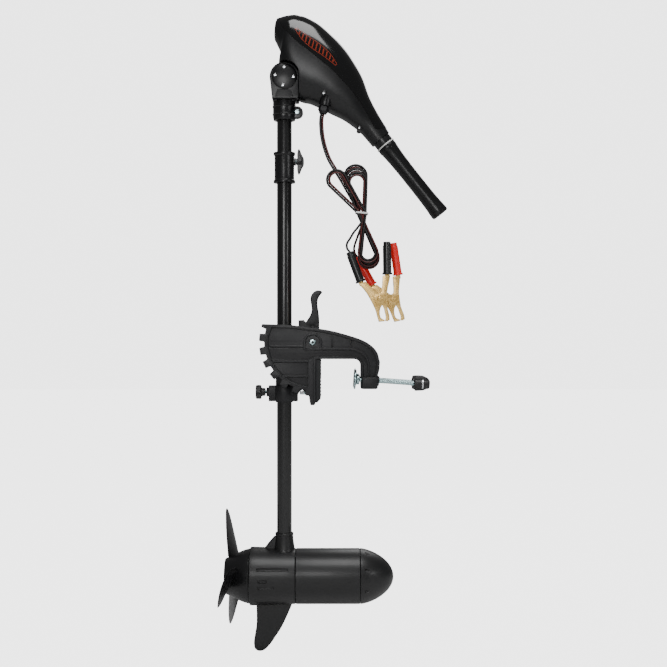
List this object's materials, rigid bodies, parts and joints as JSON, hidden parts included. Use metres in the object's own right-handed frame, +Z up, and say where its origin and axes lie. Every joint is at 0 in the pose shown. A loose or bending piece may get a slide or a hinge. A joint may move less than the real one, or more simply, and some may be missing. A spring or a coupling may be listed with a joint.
{
  "type": "transom-mount electric trolling motor",
  "caption": "Electric outboard on a long shaft with a clamp-on transom bracket, tilt lock, depth collar, twist-grip tiller, submerged motor pod and propeller, and a battery lead with clips.",
  "frame": {"origin": "middle of the transom pad's face, which lies against the outside of the boat's transom", "axes": "+Z up, +X from the transom into the boat towards the operator, +Y across the boat; the mast stands on the -X side"},
  "size_m": [0.3865, 0.1975, 1.1098],
  "materials": {
    "nylon": "moulded glass-filled nylon",
    "gloss": "gloss black ABS",
    "matte": "fine-textured black ABS",
    "paint": "satin black epoxy paint on aluminium",
    "casting": "die-cast, satin black epoxy paint",
    "composite": "black glass-fibre composite, low gloss",
    "rubber": "matte black rubber",
    "zinc": "bright blue zinc plate",
    "steel": "ground stainless steel",
    "tube": "bright drawn tube",
    "acetal": "white acetal",
    "brass": "brass-plated spring sheet",
    "copper": "laminated iron core with copper windings",
    "ceramic": "ceramic ferrite magnet",
    "black_sleeve": "soft black vinyl",
    "red_sleeve": "soft red vinyl",
    "cable": "vinyl-jacketed twin lead, one side marked dark red",
    "tie": "white coated twist tie"
  },
  "bodies": {
    "bracket": {"bracket_body": "nylon", "transom_pad": "rubber", "tilt_bolt": "zinc", "tilt_nut": "zinc"},
    "pad_near": {"clamp_pad_near": "zinc"},
    "pad_far": {"clamp_pad_far": "zinc"},
    "screw_near": {"clamp_screw_near": "zinc", "clamp_knob_near": "matte"},
    "screw_far": {"clamp_screw_far": "zinc", "clamp_knob_far": "matte"},
    "carriage": {"carriage_body": "nylon", "pivot_bushing": "acetal", "lock_spring": "steel"},
    "lever": {"release_lever": "nylon"},
    "lock": {"lock_rod": "zinc", "lock_pin": "steel"},
    "swivel": {"steering_sleeve": "nylon"},
    "tension": {"tension_knob": "matte"},
    "mast": {"mast_tube": "composite", "head_yoke": "matte", "yoke_screw": "zinc", "pivot_bolt": "steel", "pivot_cover_near": "matte", "pivot_cover_far": "matte", "motor_rear_housing": "casting", "motor_can": "paint", "motor_nose": "casting", "through_bolt_upper": "steel", "through_bolt_lower": "steel", "magnet_near": "ceramic", "magnet_far": "ceramic", "front_bearing": "steel", "rear_bearing": "steel"},
    "rotor": {"motor_shaft": "steel", "armature": "copper", "propeller": "matte", "drive_pin": "steel", "prop_nut": "steel"},
    "collar": {"depth_collar": "matte"},
    "collar_screw": {"depth_wing_screw": "matte"},
    "head": {"head_lower_housing": "matte", "head_top_cover": "gloss", "speed_switch": "matte", "cable_gland": "nylon", "tiller_ring": "acetal", "cable_drop": "cable", "cable_hank": "cable", "cable_tie": "tie", "lead_black": "cable", "lead_red": "cable", "clip_black_fixed_arm": "brass", "clip_black_fixed_sleeve": "black_sleeve", "clip_red_fixed_arm": "brass", "clip_red_fixed_sleeve": "red_sleeve"},
    "tiller": {"tiller_tube": "tube"},
    "grip": {"twist_grip": "rubber"},
    "clip_black_jaw": {"clip_black_moving_arm": "brass", "clip_black_moving_sleeve": "black_sleeve"},
    "clip_red_jaw": {"clip_red_moving_arm": "brass", "clip_red_moving_sleeve": "red_sleeve"}
  },
  "joints": [
    {"name": "tilt", "type": "hinge", "parent": "bracket", "child": "carriage", "pos_m": [-0.014, 0, 0.063], "axis": [0, 1, 0], "range_deg": [0, 91.2]},
    {"name": "tilt_release", "type": "hinge", "parent": "carriage", "child": "lever", "pos_m": [-0.014, 0, 0.089], "axis": [0, -1, 0], "range_deg": [0, 30.5]},
    {"name": "lock_slide", "type": "slide", "parent": "carriage", "child": "lock", "axis": [-0.2011, 0, -0.9796], "range_m": [0, 0.0098], "stiffness_N_per_m": 900, "springref_m": -0.004, "deforming": ["lock_spring"]},
    {"name": "steer", "type": "hinge", "parent": "carriage", "child": "swivel", "pos_m": [-0.064, 0, 0.02], "axis": [0, 0, 1], "range_deg": [-180, 180]},
    {"name": "steer_tension", "type": "hinge", "parent": "carriage", "child": "tension", "pos_m": [-0.105, 0, -0.0243], "axis": [-1, 0, 0], "range_deg": [0, 720]},
    {"name": "depth_slide", "type": "slide", "parent": "swivel", "child": "mast", "axis": [0, 0, 1], "range_m": [-0.15, 0.15]},
    {"name": "depth_collar_slide", "type": "slide", "parent": "mast", "child": "collar", "axis": [0, 0, 1], "range_m": [-0.08, 0.045]},
    {"name": "depth_collar_screw", "type": "hinge", "parent": "collar", "child": "collar_screw", "pos_m": [-0.042, 0, 0.378], "axis": [1, 0, 0], "range_deg": [0, 720]},
    {"name": "head_tilt", "type": "hinge", "parent": "mast", "child": "head", "pos_m": [-0.063, 0, 0.522], "axis": [0, -1, 0], "range_deg": [0, 55]},
    {"name": "tiller_slide", "type": "slide", "parent": "head", "child": "tiller", "axis": [0.622, 0, -0.783], "range_m": [0, 0.12]},
    {"name": "throttle_twist", "type": "hinge", "parent": "tiller", "child": "grip", "pos_m": [0.117, 0, 0.4025], "axis": [0.622, 0, -0.783], "range_deg": [-60, 100]},
    {"name": "prop_spin", "type": "hinge", "parent": "mast", "child": "rotor", "pos_m": [-0.15, 0, -0.346], "axis": [1, 0, 0], "continuous": true},
    {"name": "clamp_slide_near", "type": "slide", "parent": "bracket", "child": "pad_near", "axis": [-0.9976, 0, 0.0692], "range_m": [0, 0.05]},
    {"name": "clamp_slide_far", "type": "slide", "parent": "bracket", "child": "pad_far", "axis": [-0.9976, 0, 0.0692], "range_m": [0, 0.05]},
    {"name": "clamp_turn_near", "type": "hinge", "parent": "pad_near", "child": "screw_near", "pos_m": [0.09975, -0.029, -0.0039], "axis": [-0.9976, 0, 0.0692], "range_deg": [0, 6010]},
    {"name": "clamp_turn_far", "type": "hinge", "parent": "pad_far", "child": "screw_far", "pos_m": [0.09975, 0.029, -0.0039], "axis": [-0.9976, 0, 0.0692], "range_deg": [0, 6010]},
    {"name": "clip_black_squeeze", "type": "hinge", "parent": "head", "child": "clip_black_jaw", "pos_m": [0.0989, -0.0915, 0.1362], "axis": [0, -1, 0], "range_deg": [0, 14], "stiffness_Nm_per_rad": 0.6},
    {"name": "clip_red_squeeze", "type": "hinge", "parent": "head", "child": "clip_red_jaw", "pos_m": [0.1224, -0.053, 0.1362], "axis": [0, -1, 0], "range_deg": [0, 14], "stiffness_Nm_per_rad": 0.6}
  ],
  "couplings": [
    {"joint": "tilt_release", "follows": "lock_slide", "rad_per_m": 53.428},
    {"joint": "clamp_turn_near", "follows": "clamp_slide_near", "rad_per_m": 2094.4},
    {"joint": "clamp_turn_far", "follows": "clamp_slide_far", "rad_per_m": 2094.4}
  ]
}
